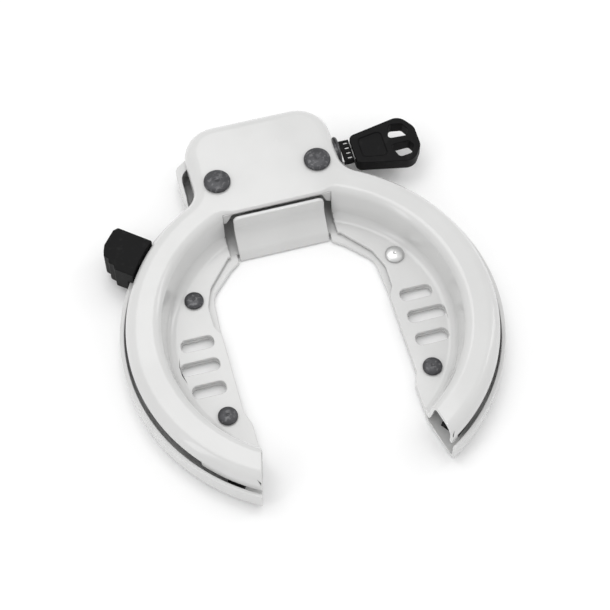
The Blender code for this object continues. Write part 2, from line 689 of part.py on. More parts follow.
def make_tumblers():
    """Wafers that ride the key's cuts across the plug; their windows leave room for their lift."""
    radius, tall = PLUG_RADIUS - 0.15 * MM, 2.3 * MM
    start = atan2(tall, sqrt(radius**2 - tall**2))
    right = arc((0, 0), radius, -start, 2 * start, 4)
    outline = right + [(-y, z) for y, z in reversed(right)]
    for number, x in enumerate(TUMBLER_X, 1):
        faces = (x - TUMBLER_THICKNESS / 2, x + TUMBLER_THICKNESS / 2)
        ends = [[(px, CYLINDER_Y + y, MID_HEIGHT + z) for y, z in outline] for px in faces]
        wafer = new_object(f"tumbler_{number}", loft(bmesh.new(), ends), BRASS)
        below, above = BLADE_HALF_WIDTH + 0.9 * MM, BLADE_HALF_WIDTH + 0.15 * MM
        window_y = (CYLINDER_Y - below, CYLINDER_Y + above)
        window_z = (MID_HEIGHT - 1.15 * MM, MID_HEIGHT + 1.15 * MM)
        cut(wafer, block(bmesh.new(), (x - 1 * MM, x + 1 * MM), window_y, window_z))


def make_key():
    shoulder, root = KEY_SHOULDER
    tip, half, wide = 6.0 * MM, BLADE_HALF_WIDTH, KEY_SHOULDER_HALF_WIDTH
    outline = [(root, -wide), (root, wide), (shoulder, wide), (shoulder, half)]
    outline += [(tip + 2 * MM, half), (tip, 0), (tip + 2 * MM, -half)]
    for x in TUMBLER_X:
        floor = KEY_CUT_DEPTH - half
        outline += [(x - 1.2 * MM, -half), (x - 0.5 * MM, floor)]
        outline += [(x + 0.5 * MM, floor), (x + 1.2 * MM, -half)]
    outline += [(shoulder, -half), (shoulder, -wide)]
    outline = [(x, y + CYLINDER_Y) for x, y in outline]
    thick = BLADE_HALF_THICKNESS
    blade = prism(bmesh.new(), outline, MID_HEIGHT - thick, MID_HEIGHT + thick)
    new_object("key_blade", blade, BRIGHT_STEEL)

    middle = CYLINDER_Y - KEY_HEAD_DROP
    corners = [(x, -y, r) for x, y, r in KEY_HEAD_HALF]
    corners += [(x, y, r) for x, y, r in reversed(KEY_HEAD_HALF)]
    corners = [(x * MM, y * MM + middle, r * MM) for x, y, r in corners]
    thick = KEY_HEAD_HALF_THICKNESS
    body = prism(bmesh.new(), rounded(corners, steps=5), MID_HEIGHT - thick, MID_HEIGHT + thick)
    head = new_object("key_head", body, BLACK_PLASTIC)
    bevel = head.modifiers.new("soft_edges", "BEVEL")
    bevel.width = 0.9 * MM
    bevel.segments = 2
    bevel.limit_method = "ANGLE"
    bevel.angle_limit = radians(50)
    gap = 0.25 * MM
    slot_half = BLADE_HALF_THICKNESS + gap
    pocket = block(
        bmesh.new(),
        (KEY_HEAD_HALF[0][0] * MM - 2 * MM, root + gap),
        (CYLINDER_Y - wide - gap, CYLINDER_Y + wide + gap),
        (MID_HEIGHT - slot_half, MID_HEIGHT + slot_half),
    )
    cutters = [pocket]
    for side in (-1, 1):
        eye = rounded([(x * MM, y * MM, r * MM) for x, y, r in KEY_EYE])
        cutters.append(prism(bmesh.new(), [(x, middle + side * y) for x, y in eye], 0, 20 * MM))
    cut(head, *cutters)


def make_latch():
    """A slide moved by the crank pin, whose nose drops into the shackle's notches."""
    nose_y, body_y, back_y = LATCH_TIP_Y, 68.6 * MM, 80.0 * MM
    nose = (6.3 * MM, 11.2 * MM)
    body = (3.1 * MM, 12.2 * MM)
    outline = [(nose_y, nose[0]), (nose_y, nose[1]), (body_y, nose[1]), (body_y, body[1])]
    outline += [(back_y, body[1]), (back_y, body[0]), (body_y, body[0]), (body_y, nose[0])]
    ends = [[(x, y, z) for y, z in outline] for x in LATCH_X]
    latch = new_object("latch_bolt", loft(bmesh.new(), ends), SPRING_STEEL)
    crank_y = CYLINDER_Y + ECCENTRIC
    play = CRANK_PIN_RADIUS + 0.3 * MM
    arc_play = 0.21 * ECCENTRIC
    slot = block(
        bmesh.new(),
        (-10 * MM, 0),
        (crank_y - play, crank_y + play + arc_play),
        (MID_HEIGHT - ECCENTRIC - play, MID_HEIGHT + play),
    )
    cut(latch, slot)

    middle = Vector(((LATCH_X[0] + LATCH_X[1]) / 2, 0, 7.65 * MM))

    def centre_line(share):
        point = middle + Vector((0, (80.8 + 4.2 * share) * MM, 0))
        return point, Vector((1, 0, 0)), Vector((0, 0, -1))

    wire = coil(bmesh.new(), centre_line, 2.2 * MM, 0.3 * MM, 4)
    new_object("latch_spring", wire, SPRING_STEEL, smooth=60)


make_front_shell()
make_back_shell()
make_guard_plate()
make_rivets()
make_shackle()
make_knob()
make_guide_bushes()
make_return_spring()
make_lock_body()
make_cylinder()
make_tumblers()
make_key()
make_latch()
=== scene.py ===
import json
from math import asin, atan2, cos, degrees, pi, radians, sin, sqrt, tan

import bmesh
import bpy
from mathutils import Matrix, Vector


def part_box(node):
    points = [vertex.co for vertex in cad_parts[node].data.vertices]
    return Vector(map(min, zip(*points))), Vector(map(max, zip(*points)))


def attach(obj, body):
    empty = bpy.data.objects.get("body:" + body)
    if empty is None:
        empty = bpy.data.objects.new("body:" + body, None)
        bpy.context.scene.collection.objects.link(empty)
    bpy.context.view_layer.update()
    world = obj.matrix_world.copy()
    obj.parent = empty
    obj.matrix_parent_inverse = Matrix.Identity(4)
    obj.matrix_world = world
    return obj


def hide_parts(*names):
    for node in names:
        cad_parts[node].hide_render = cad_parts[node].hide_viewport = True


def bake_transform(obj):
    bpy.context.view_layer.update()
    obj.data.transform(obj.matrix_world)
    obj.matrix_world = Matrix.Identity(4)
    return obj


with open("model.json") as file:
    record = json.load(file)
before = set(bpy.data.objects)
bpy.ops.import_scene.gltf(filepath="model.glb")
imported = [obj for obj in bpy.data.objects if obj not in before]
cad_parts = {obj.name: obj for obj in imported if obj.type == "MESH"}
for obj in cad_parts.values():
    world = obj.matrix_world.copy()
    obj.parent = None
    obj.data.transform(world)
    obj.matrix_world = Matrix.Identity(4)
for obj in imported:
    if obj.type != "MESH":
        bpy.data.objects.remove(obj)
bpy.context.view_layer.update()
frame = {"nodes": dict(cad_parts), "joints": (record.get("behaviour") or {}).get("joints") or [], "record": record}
mm = 0.001  # metres in a millimetre

# Everything below is drawn in millimetres round the ring's centre, angles anticlockwise from +X
hinge = next(j for j in frame["joints"] if j["name"] == "shackle_swing")
plugAxis = next(j for j in frame["joints"] if j["name"] == "plug_turn")
toFrame = Matrix.Translation((0, hinge["pos_m"][1], 0)) @ Matrix.Scale(mm, 4)
middleZ = hinge["pos_m"][2] / mm
cylinderY = (plugAxis["pos_m"][1] - hinge["pos_m"][1]) / mm


# Node trees written as sums

class Wire:
    def __init__(self, board, socket):
        self.board = board
        self.socket = socket

    def __add__(self, other):
        return self.board.maths("ADD", self, other)

    def __sub__(self, other):
        return self.board.maths("SUBTRACT", self, other)

    def __mul__(self, other):
        return self.board.maths("MULTIPLY", self, other)

    def __truediv__(self, other):
        return self.board.maths("DIVIDE", self, other)

    def __rsub__(self, other):
        return self.board.maths("SUBTRACT", other, self)

    def __rtruediv__(self, other):
        return self.board.maths("DIVIDE", other, self)

    __radd__ = __add__
    __rmul__ = __mul__


class Board:
    def __init__(self, tree):
        self.tree = tree

    def add(self, kind, settings=None, values=None, out=0):  # any node: settings first, then its sockets
        node = self.tree.nodes.new(kind)
        for name, value in (settings or {}).items():
            if name == "stops":
                for place, colour in value[2:]:
                    node.color_ramp.elements.new(place)
                for stop, (place, colour) in zip(node.color_ramp.elements, value):
                    stop.position = place
                    stop.color = (*colour, 1)
            else:
                setattr(node, name, value)
        for name, value in (values or {}).items():
            self.feed(node.inputs[name], value)
        return Wire(self, node.outputs[out])

    def feed(self, socket, value):
        if isinstance(value, Wire):
            self.tree.links.new(value.socket, socket)
        else:
            socket.default_value = value

    def maths(self, operation, *values):
        return self.add("ShaderNodeMath", {"operation": operation}, dict(enumerate(values)))

    def sine(self, value):
        return self.maths("SINE", value)

    def cosine(self, value):
        return self.maths("COSINE", value)

    def between(self, value, low, high):  # 0 below low, 1 above high, smooth in between
        values = {"Value": value, "From Min": low, "From Max": high}
        return self.add("ShaderNodeMapRange", {"interpolation_type": "SMOOTHSTEP"}, values)

    def noise(self, place, scale, detail=2.0, roughness=0.5):
        values = {"Vector": place, "Scale": scale, "Detail": detail, "Roughness": roughness}
        return self.add("ShaderNodeTexNoise", None, values)

    def stretched(self, place, scale):
        return self.add("ShaderNodeMapping", None, {"Vector": place, "Scale": scale})

    def mixed(self, share, first, second):
        return self.add("ShaderNodeMix", {"data_type": "RGBA"}, {0: share, 6: first, 7: second}, out=2)


# Materials

def newMaterial(name, fixed, paint):  # fixed: shader sockets that never change; paint: what varies
    made = bpy.data.materials.new(name)
    made.use_nodes = True
    board = Board(made.node_tree)
    shader = made.node_tree.nodes["Principled BSDF"]
    for socket, value in fixed.items():
        shader.inputs[socket].default_value = value
    place = board.add("ShaderNodeTexCoord", out=3)
    for socket, value in paint(board, place).items():
        board.feed(shader.inputs[socket], value)
    return made


def bumped(board, height, strength, distance):
    return board.add("ShaderNodeBump", None, {"Strength": strength, "Distance": distance, "Height": height})


coat = dict(white=(0.615, 0.615, 0.61, 1), shade=(0.585, 0.585, 0.58, 1), mark=(0.46, 0.46, 0.45, 1),
            peel=620.0, cloud=38.0, scratch=(90.0, 1900.0, 700.0), roughness=0.2)


def paintCoat(board, place):
    cloud = board.noise(place, coat["cloud"], 3.0)
    peel = board.noise(place, coat["peel"], 1.0)
    fine = board.noise(place, 4 * coat["peel"], 2.0)
    hair = board.noise(board.stretched(place, coat["scratch"]), 1.0, 3.0)
    patch = board.between(board.noise(place, 95.0, 2.0), 0.62, 0.74)
    scuff = board.between(hair, 0.66, 0.74) * patch
    speck = board.between(board.noise(place, 1500.0, 1.0), 0.80, 0.84)
    tone = board.mixed(board.between(cloud, 0.35, 0.7), coat["white"], coat["shade"])
    tone = board.mixed(scuff * 0.45 + speck * 0.5, tone, coat["mark"])
    height = peel * 0.8 + fine * 0.2 - scuff * 0.35
    return {
        "Base Color": tone,
        "Roughness": coat["roughness"] + 0.07 * cloud + 0.25 * scuff,
        "Coat Weight": 0.55 - 0.4 * scuff,
        "Normal": bumped(board, height, 0.12, 0.00012),
    }


def paintDarkSteel(board, place):
    cloud = board.noise(place, 260.0, 4.0, 0.6)
    pits = board.between(board.noise(place, 2600.0, 2.0), 0.58, 0.72)
    worn = board.between(board.noise(place, 800.0, 3.0), 0.5, 0.68)
    tone = board.mixed(cloud, (0.035, 0.035, 0.038, 1), (0.11, 0.11, 0.115, 1))
    tone = board.mixed(worn * 0.5, tone, (0.21, 0.21, 0.215, 1))
    return {
        "Base Color": tone,
        "Roughness": 0.3 + 0.22 * cloud + 0.15 * pits,
        "Normal": bumped(board, cloud * 0.5 - pits, 0.35, 0.00006),
    }


def paintBrightSteel(board, place):
    grain = board.noise(board.stretched(place, (2600.0, 2600.0, 500.0)), 1.0, 3.0)
    cloud = board.noise(place, 190.0, 3.0)
    tone = board.mixed(cloud, (0.55, 0.555, 0.56, 1), (0.72, 0.72, 0.71, 1))
    return {
        "Base Color": tone,
        "Roughness": 0.2 + 0.16 * grain + 0.1 * cloud,
        "Normal": bumped(board, grain, 0.2, 0.00003),
    }


def paintSpringSteel(board, place):
    cloud = board.noise(place, 700.0, 3.0)
    tone = board.mixed(cloud, (0.3, 0.3, 0.32, 1), (0.5, 0.49, 0.48, 1))
    return {
        "Base Color": tone,
        "Roughness": 0.22 + 0.2 * cloud,
        "Normal": bumped(board, cloud, 0.15, 0.00003),
    }


def paintCastZinc(board, place):
    grain = board.noise(place, 1800.0, 4.0, 0.65)
    cloud = board.noise(place, 150.0, 3.0)
    tone = board.mixed(cloud, (0.4, 0.41, 0.42, 1), (0.56, 0.565, 0.57, 1))
    return {
        "Base Color": tone,
        "Roughness": 0.42 + 0.2 * grain,
        "Normal": bumped(board, grain, 0.5, 0.0001),
    }


def paintBrass(board, place):
    rings = board.noise(board.stretched(place, (4200.0, 300.0, 300.0)), 1.0, 2.0)
    cloud = board.noise(place, 230.0, 3.0)
    tone = board.mixed(cloud, (0.66, 0.47, 0.2, 1), (0.79, 0.62, 0.3, 1))
    return {
        "Base Color": tone,
        "Roughness": 0.24 + 0.18 * rings,
        "Normal": bumped(board, rings, 0.25, 0.00003),
    }


def paintPlastic(board, place):
    grain = board.noise(place, 3600.0, 3.0, 0.6)
    cloud = board.noise(place, 170.0, 3.0)
    rub = board.between(board.noise(place, 420.0, 3.0), 0.55, 0.75)
    tone = board.mixed(cloud, (0.0022, 0.0022, 0.0023, 1), (0.005, 0.005, 0.0053, 1))
    tone = board.mixed(rub * 0.35, tone, (0.02, 0.02, 0.02, 1))
    return {
        "Base Color": tone,
        "Roughness": 0.36 + 0.14 * grain + 0.1 * cloud,
        "Normal": bumped(board, grain, 0.4, 0.00008),
    }


metal = {"Metallic": 1.0}
finishes = {
    "white_coat": newMaterial("glossPowderCoat", {"Coat Roughness": 0.06, "IOR": 1.5}, paintCoat),
    "dark_steel": newMaterial("blackenedSteel", {"Metallic": 0.85}, paintDarkSteel),
    "bright_steel": newMaterial("platedSteel", metal, paintBrightSteel),
    "spring_steel": newMaterial("springSteel", metal, paintSpringSteel),
    "cast_zinc": newMaterial("castZinc", metal, paintCastZinc),
    "brass": newMaterial("turnedBrass", metal, paintBrass),
    "black_plastic": newMaterial("mouldedPlastic", {"Specular IOR Level": 0.12}, paintPlastic),
}
print("materials ready:", len(finishes))


# Outlines

def arcPoints(centre, radius, start, turn, steps):
    angles = [start + turn * k / steps for k in range(steps + 1)]
    return [(centre[0] + radius * cos(a), centre[1] + radius * sin(a)) for a in angles]


def roundedOutline(corners, closed=True, steps=7):  # (x, y, radius) corners, each turned into an arc
    points = []
    last = len(corners) - 1
    for i, (x, y, radius) in enumerate(corners):
        here = Vector((x, y))
        if radius == 0 or (not closed and i in (0, last)):
            points.append((x, y))
            continue
        back = (Vector(corners[i - 1][:2]) - here).normalized()
        ahead = (Vector(corners[(i + 1) % (last + 1)][:2]) - here).normalized()
        half = back.angle(ahead) / 2
        centre = here + (back + ahead).normalized() * radius / sin(half)
        first = here + back * radius / tan(half) - centre
        second = here + ahead * radius / tan(half) - centre
        start = atan2(first.y, first.x)
        turn = (atan2(second.y, second.x) - start + pi) % (2 * pi) - pi
        points += arcPoints(centre, radius, start, turn, steps)
    return points


def bothSides(rightHalf):
    return rightHalf + [(-x, y) for x, y in reversed(rightHalf)]


def slotOutline(low, high, y, width, corner):
    below, above = y - width / 2, y + width / 2
    corners = [(low, below), (high, below), (high, above), (low, above)]
    return roundedOutline([(x, py, corner) for x, py in corners])


# Meshes: plain bmesh bodies in millimetres

def skinned(rows):  # rows of matching closed sections, capped at both ends
    body = bmesh.new()
    rings = [[body.verts.new(p) for p in row] for row in rows]
    for ring, following in zip(rings, rings[1:]):
        for k in range(len(ring)):
            j = (k + 1) % len(ring)
            body.faces.new((ring[k], ring[j], following[j], following[k]))
    body.faces.new(rings[0])
    body.faces.new(rings[-1])
    return body


def raised(outline, low, high):
    return skinned([[(x, y, z) for x, y in outline] for z in (low, high)])


def brick(xs, ys, zs):
    return raised([(xs[0], ys[0]), (xs[1], ys[0]), (xs[1], ys[1]), (xs[0], ys[1])], *zs)


def lathed(profile, segments=48):  # (radius, height) from axis to axis, or a closed ring clear of the axis
    solid = profile[0][0] == 0
    inner = profile[1:-1] if solid else profile
    body = bmesh.new()
    rows = []
    for s in range(segments):
        a = 2 * pi * s / segments
        rows.append([body.verts.new((r * cos(a), r * sin(a), z)) for r, z in inner])
    ends = [body.verts.new((0, 0, profile[k][1])) for k in (0, -1)] if solid else []
    for row, following in zip(rows, rows[1:] + rows[:1]):
        pairs = list(zip(range(len(inner)), range(1, len(inner)))) + ([] if solid else [(len(inner) - 1, 0)])
        for k, j in pairs:
            body.faces.new((row[k], following[k], following[j], row[j]))
        if solid:
            body.faces.new((ends[0], following[0], row[0]))
            body.faces.new((ends[1], row[-1], following[-1]))
    return body


def sweptRound(section, angles):  # a (radius, height) section carried round the ring's centre
    return skinned([[(r * cos(a), r * sin(a), z) for r, z in section] for a in angles])


def moved(body, matrix):
    bmesh.ops.transform(body, matrix=matrix, verts=body.verts)
    return body


def turnedTo(body, angle):
    return moved(body, Matrix.Rotation(angle, 4, "Z"))


def alongX(body, x=0.0, y=cylinderY, z=middleZ):  # local Z points to +X
    return moved(body, Matrix.Translation((x, y, z)) @ Matrix.Rotation(pi / 2, 4, "Y"))


def meshOf(body):
    bmesh.ops.recalc_face_normals(body, faces=body.faces)
    mesh = bpy.data.meshes.new("drawn")
    body.to_mesh(mesh)
    body.free()
    return mesh


def helper(mesh):
    made = bpy.data.objects.new("helper", mesh)
    bpy.context.scene.collection.objects.link(made)
    return made


def evaluated(thing):  # the object's mesh with its modifiers in, then the object is gone
    depsgraph = bpy.context.evaluated_depsgraph_get()
    mesh = bpy.data.meshes.new_from_object(thing.evaluated_get(depsgraph))
    bpy.data.objects.remove(thing)
    return mesh


def carved(body, cutters):
    joined = bmesh.new()
    for cutter in cutters:
        spare = meshOf(cutter)
        joined.from_mesh(spare)
        bpy.data.meshes.remove(spare)
    tool = helper(meshOf(joined))
    target = helper(meshOf(body))
    boolean = target.modifiers.new("cut", "BOOLEAN")
    boolean.operation = "DIFFERENCE"
    boolean.use_self = True
    boolean.object = tool
    mesh = evaluated(target)
    bpy.data.objects.remove(tool)
    result = bmesh.new()
    result.from_mesh(mesh)
    return result


def tidied(body, merge=0.02, flat=0.3):  # joins slivers and flat neighbours before edges are softened
    bmesh.ops.remove_doubles(body, verts=body.verts, dist=merge)
    bmesh.ops.dissolve_degenerate(body, edges=body.edges, dist=merge)
    bmesh.ops.dissolve_limit(body, angle_limit=radians(flat), verts=body.verts, edges=body.edges)
    return body


def finished(name, body, slot, ridesOn, replaces, soft=0.0, bendLimit=38, rounds=3):
    if isinstance(body, bmesh.types.BMesh):
        thing = helper(meshOf(body))
        if soft:
            bevel = thing.modifiers.new("soft", "BEVEL")
            bevel.width = soft
            bevel.segments = rounds
            bevel.limit_method = "ANGLE"
            bevel.angle_limit = radians(bendLimit)
            bevel.use_clamp_overlap = False
        body = evaluated(thing)
        body.transform(toFrame)
    body.materials.clear()
    body.materials.append(finishes[slot])
    body.shade_smooth()
    body.set_sharp_from_angle(angle=radians(40))
    piece = bpy.data.objects.new(name, body)
    bpy.context.scene.collection.objects.link(piece)
    weighted = piece.modifiers.new("flat faces stay flat", "WEIGHTED_NORMAL")
    weighted.keep_sharp = True
    if ridesOn:
        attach(piece, ridesOn)
    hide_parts(*replaces)
    print(name, "made:", len(body.polygons), "faces")
    return piece


# The shells' outline, as a distance from the ring's centre at each angle

shell = dict(sheet=1.6, gap=0.3, top=17.5, wall=67.8, crease=52.7, ramp=2.5, blank=29.5, rimStep=2.4,
             rimTop=9.2, rimBend=3.0, slotTop=12.0, halfWidth=28.7, farEdge=93.0, corner=13.0,
             flare=10.0, windowHalf=21.0, windowWall=49.6, windowShare=0.35, lobe=4.3, armEnd=-64,
             edge=0.32, slotWidth=5.2, slotCorner=2.2, flangeHole=2.3, housingHole=2.05, sideHole=6.3,
             windowY=(35, 51), channel=60.8)
slotBand = (64, 72)  # radii that clear the front wall on both sides
sinks = dict(flange=3.5, housing=3.2, below=-1, floor=1.3)  # where the rivets' tails are closed
through = (-2, 25)  # heights well below and above the lock
mountSlots = [(35.7, 48.0, 7.1), (35.8, 50.3, -2.5), (35.8, 48.3, -12.4)]
flareX = shell["halfWidth"] + shell["flare"]
flareY = sqrt((shell["wall"] + shell["flare"]) ** 2 - flareX**2)
cornerX = shell["halfWidth"] - shell["corner"]
cornerY = shell["farEdge"] - shell["corner"]


def toCircle(angle, x, y, radius, near):
    along = x * cos(angle) + y * sin(angle)
    depth = sqrt(radius**2 - (x**2 + y**2 - along**2))
    return along - depth if near else along + depth


def folded(angle):  # the same angle on the right half
    return angle if angle <= pi / 2 else pi - angle


def outlineRadius(angle, inset):
    a = folded(angle)
    half, far = shell["halfWidth"] - inset, shell["farEdge"] - inset
    if a <= atan2(flareY, flareX):
        return shell["wall"] - inset
    if a <= atan2(flareY, half):
        return toCircle(a, flareX, flareY, shell["flare"] + inset, near=True)
    if a <= atan2(cornerY, half):
        return half / cos(a)
    if a <= atan2(far, cornerX):
        return toCircle(a, cornerX, cornerY, shell["corner"] - inset, near=False)
    return far / sin(a)


def smoothStep(low, high, value):
    t = min(1, max(0, (value - low) / (high - low)))
    return t * t * (3 - 2 * t)


def rampRadius(angle, radius):  # runs straight and steep behind the guard
    a = folded(angle)
    straight = (shell["windowWall"] + shell["windowShare"] * (radius - shell["crease"])) / sin(max(a, 1))
    share = smoothStep(radians(64), radians(72), a)
    return radius * (1 - share) + straight * share


def rimStep(angle):
    a = degrees(folded(angle))
    step = shell["rimStep"] * (1 - smoothStep(55, 62, a))
    if angle > pi / 2:
        step += shell["lobe"] * smoothStep(61, 64.5, a) * (1 - smoothStep(67, 72.5, a))
    return step


def stations():
    arm = [radians(shell["armEnd"] + 1.5 * k) for k in range(80)]
    bends = [radians(56 + 0.75 * k) for k in range(46)]
    half = arm + bends
    return half + [pi - a for a in reversed(half)]


def shellBody(profile, place):
    rows = []
    for angle in stations():
        points = [(place(angle, radius), z) for radius, z in profile]
        rows.append([(r * cos(angle), r * sin(angle), z) for r, z in points])
    return skinned(rows)


def openingCutter(wheelEdge):
    ends = [(36.5, -68.0, 0), (34.0, -58.0, 0), (30.5, -44.0, 0), (30.4, -29.5, 3), (32.2, -24.5, 3)]
    return raised(bothSides(roundedOutline(ends + wheelEdge, closed=False)), -5, 25)


def slotCutters():
    cutters = []
    for low, high, y in mountSlots:
        outline = slotOutline(low, high, y, shell["slotWidth"], shell["slotCorner"])
        cutters += [raised([(side * px, py) for px, py in outline], -2, 6) for side in (-1, 1)]
    return cutters


def middleOf(node):  # a node's centre in the ring's millimetres
    low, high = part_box(node)
    return toFrame.inverted() @ ((low + high) / 2)


flangeRivets = [f"flange_rivet_{place}_{hand}" for place in ("upper", "lower") for hand in ("left", "right")]
housingRivets = [f"housing_rivet_{hand}" for hand in ("left", "right")]


def circlePoints(centre, radius, segments=32):
    return arcPoints(centre, radius, 0, 2 * pi, segments)[:-1]


def rivetHoles():
    holes = []
    for names, radius in ((flangeRivets, shell["flangeHole"]), (housingRivets, shell["housingHole"])):
        holes += [raised(circlePoints(middleOf(name).xy, radius), *through) for name in names]
    return holes


def sideHole():
    return alongX(raised(circlePoints((0, 0), shell["sideHole"], 48), -4, 6), x=shell["halfWidth"])


def frontShell():
    sheet, wall, top = shell["sheet"], shell["wall"], shell["top"]
    lower = sheet + shell["gap"]
    upper, roof, foot = lower + sheet, top - sheet, shell["rimTop"] + shell["gap"]
    slope = shell["ramp"] / (top - upper)
    shift = sheet * sqrt(1 + slope**2)

    def under(z):
        return shell["crease"] + slope * (z - upper) + shift

    outside = [(shell["blank"], upper, 0), (shell["crease"], upper, 3.6)]
    outside += [(shell["crease"] + shell["ramp"], top, 3.6), (wall, top, 4.9), (wall, foot, 0)]
    inside = [(wall - sheet, foot, 0), (wall - sheet, roof, 3.3), (under(roof), roof, 2.0)]
    inside += [(under(lower), lower, 5.2), (shell["blank"], lower, 0)]
    profile = roundedOutline(outside, closed=False) + roundedOutline(inside, closed=False, steps=5)

    def place(angle, radius):
        if radius < shell["crease"] - 5:
            return radius
        if radius < shell["channel"]:
            return rampRadius(angle, radius)
        return outlineRadius(angle, wall - radius)

    edge = [(32.2, 8.5, 2), (34.2, 12.5, 3), (34.3, 21.5, 6), (31.5, 29.3, 6), (22.0, 40.5, 0)]
    half = shell["windowHalf"]
    cutters = [openingCutter(edge), *slotCutters(), sideHole()]
    cutters.append(brick((-half, half), shell["windowY"], (0, roof + 0.2)))
    cutters += rivetHoles()
    for first, last in ((130, 220), (303, 345)):
        angles = [radians(first + (last - first) * k / 40) for k in range(41)]
        near, far = slotBand
        band = [(near, 5), (far, 5), (far, shell["slotTop"]), (near, shell["slotTop"])]
        cutters.append(sweptRound(band, angles))
    body = tidied(carved(shellBody(profile, place), cutters))
    finished("frontShell", body, "white_coat", "housing", ["front_shell"], soft=shell["edge"])


def backShell():
    sheet = shell["sheet"]
    rim, top, bend = shell["wall"] + shell["rimStep"], shell["rimTop"], shell["rimBend"]
    outside = [(shell["blank"], 0, 0), (rim, 0, bend), (rim, top, 0)]
    inside = [(rim - sheet, top, 0), (rim - sheet, sheet, bend - sheet), (shell["blank"], sheet, 0)]
    profile = roundedOutline(outside, closed=False) + roundedOutline(inside, closed=False)

    def place(angle, radius):
        if radius < shell["channel"]:
            return radius
        return outlineRadius(angle, shell["wall"] - radius + shell["rimStep"] - rimStep(angle))

    edge = [(32.2, 12.0, 8), (31.4, 26.0, 8), (22.4, 35.5, 8), (18.3, 38.6, 0), (18.3, 42.2, 0)]
    cutters = [openingCutter(edge), *slotCutters(), sideHole()]
    cutters += rivetHoles()
    below, floor = sinks["below"], sinks["floor"]
    for names, mouth in ((flangeRivets, sinks["flange"]), (housingRivets, sinks["housing"])):
        for name in names:
            sink = lathed([(0, below), (mouth + 0.8, below), (mouth - 1.5, floor), (0, floor)])
            cutters.append(moved(sink, Matrix.Translation((*middleOf(name).xy, 0))))
    body = tidied(carved(shellBody(profile, place), cutters))
    finished("backShell", body, "white_coat", "housing", ["back_shell"], soft=shell["edge"])


guard = dict(half=17.6, top=16.0, corner=2.2, edge=0.45)


def guardPlate():
    front = [(48.0, guard["top"], 0), (47.3, 9.0, 6), (41.0, 3.6, 5), (39.4, 0.2, 0)]
    back = [(41.0, 0.2, 0), (42.2, 2.7, 3.4), (48.9, 8.4, 7.6), (49.6, guard["top"], 0)]
    outline = [p for side in (front, back) for p in roundedOutline(side, closed=False, steps=12)]
    body = skinned([[(x, y, z) for y, z in outline] for x in (-guard["half"], guard["half"])])
    corners = []
    for side in (-1, 1):  # the upper corners are rounded off
        x, r = side * guard["half"], guard["corner"]
        centre = (x - side * r, guard["top"] - r)
        clearX, clearZ = x + side * 2, guard["top"] + 2
        outline = arcPoints(centre, r, pi / 2, -side * pi / 2, 8)
        outline += [(clearX, centre[1]), (clearX, clearZ), (centre[0], clearZ)]
        corners.append(skinned([[(px, y, pz) for px, pz in outline] for y in (44, 52)]))
    body = tidied(carved(body, corners), flat=0.05)
    finished("guardPlate", body, "white_coat", "housing", ["guard_plate"], soft=guard["edge"], bendLimit=50)


# Geometry Nodes: trees whose sizes are named inputs

def newTree(name, inputs):
    tree = bpy.data.node_groups.new(name, "GeometryNodeTree")
    tree.interface.new_socket("Geometry", in_out="INPUT", socket_type="NodeSocketGeometry")
    tree.interface.new_socket("Geometry", in_out="OUTPUT", socket_type="NodeSocketGeometry")
    for label, kind in inputs.items():
        tree.interface.new_socket(label, in_out="INPUT", socket_type="NodeSocket" + kind)
    board = Board(tree)
    source = tree.nodes.new("NodeGroupInput")
    sink = tree.nodes.new("NodeGroupOutput")
    wires = {socket.name: Wire(board, socket) for socket in source.outputs if socket.name}
    return board, wires, sink


def closeTree(board, wires, sink, geometry):  # every tree ends in real geometry with its material
    real = board.add("GeometryNodeRealizeInstances", None, {0: geometry})
    done = board.add("GeometryNodeSetMaterial", None, {"Geometry": real, "Material": wires["Finish"]})
    board.feed(sink.inputs[0], done)
    return board.tree


def grown(tree, values, start=None):  # runs a tree on a start mesh and returns the plain mesh
    thing = helper(start or bpy.data.meshes.new("empty"))
    modifier = thing.modifiers.new("grow", "NODES")
    modifier.node_group = tree
    for item in tree.interface.items_tree:
        if item.in_out == "INPUT" and item.name in values:
            modifier[item.identifier] = values[item.name]
    thing.update_tag()
    return evaluated(thing)


def onRing(board, wires, share, out, up):  # a point at a share of the sweep, moved out and up
    angle = wires["Start"] + wires["Sweep"] * share
    reach = wires["Ring Radius"] + out
    values = {"X": reach * board.cosine(angle), "Y": reach * board.sine(angle), "Z": wires["Height"] + up}
    return board.add("ShaderNodeCombineXYZ", None, values)


def split(board, vector):
    node = board.tree.nodes.new("ShaderNodeSeparateXYZ")
    board.feed(node.inputs[0], vector)
    return [Wire(board, socket) for socket in node.outputs]


ringInputs = {"Ring Radius": "Float", "Start": "Float", "Sweep": "Float", "Height": "Float"}


def ringBarTree():  # a round bar bent round the ring, with a domed tip
    inputs = {**ringInputs, "Bar Radius": "Float", "Dome Share": "Float", "Finish": "Material"}
    board, wires, sink = newTree("ringBar", inputs)
    values = {"Vertices": 40, "Side Segments": 260, "Fill Segments": 3, "Radius": 1.0, "Depth": 1.0}
    bar = board.add("GeometryNodeMeshCylinder", {"fill_type": "TRIANGLE_FAN"}, values)
    x, y, z = split(board, board.add("GeometryNodeInputPosition"))
    share = z + 0.5
    over = board.maths("MAXIMUM", share - 1 + wires["Dome Share"], 0.0) / wires["Dome Share"]
    slim = board.maths("SQRT", 1.0 - 0.93 * over * over) * wires["Bar Radius"]
    place = onRing(board, wires, share, x * slim, y * slim)
    bent = board.add("GeometryNodeSetPosition", None, {0: bar, "Position": place})
    return closeTree(board, wires, sink, bent)


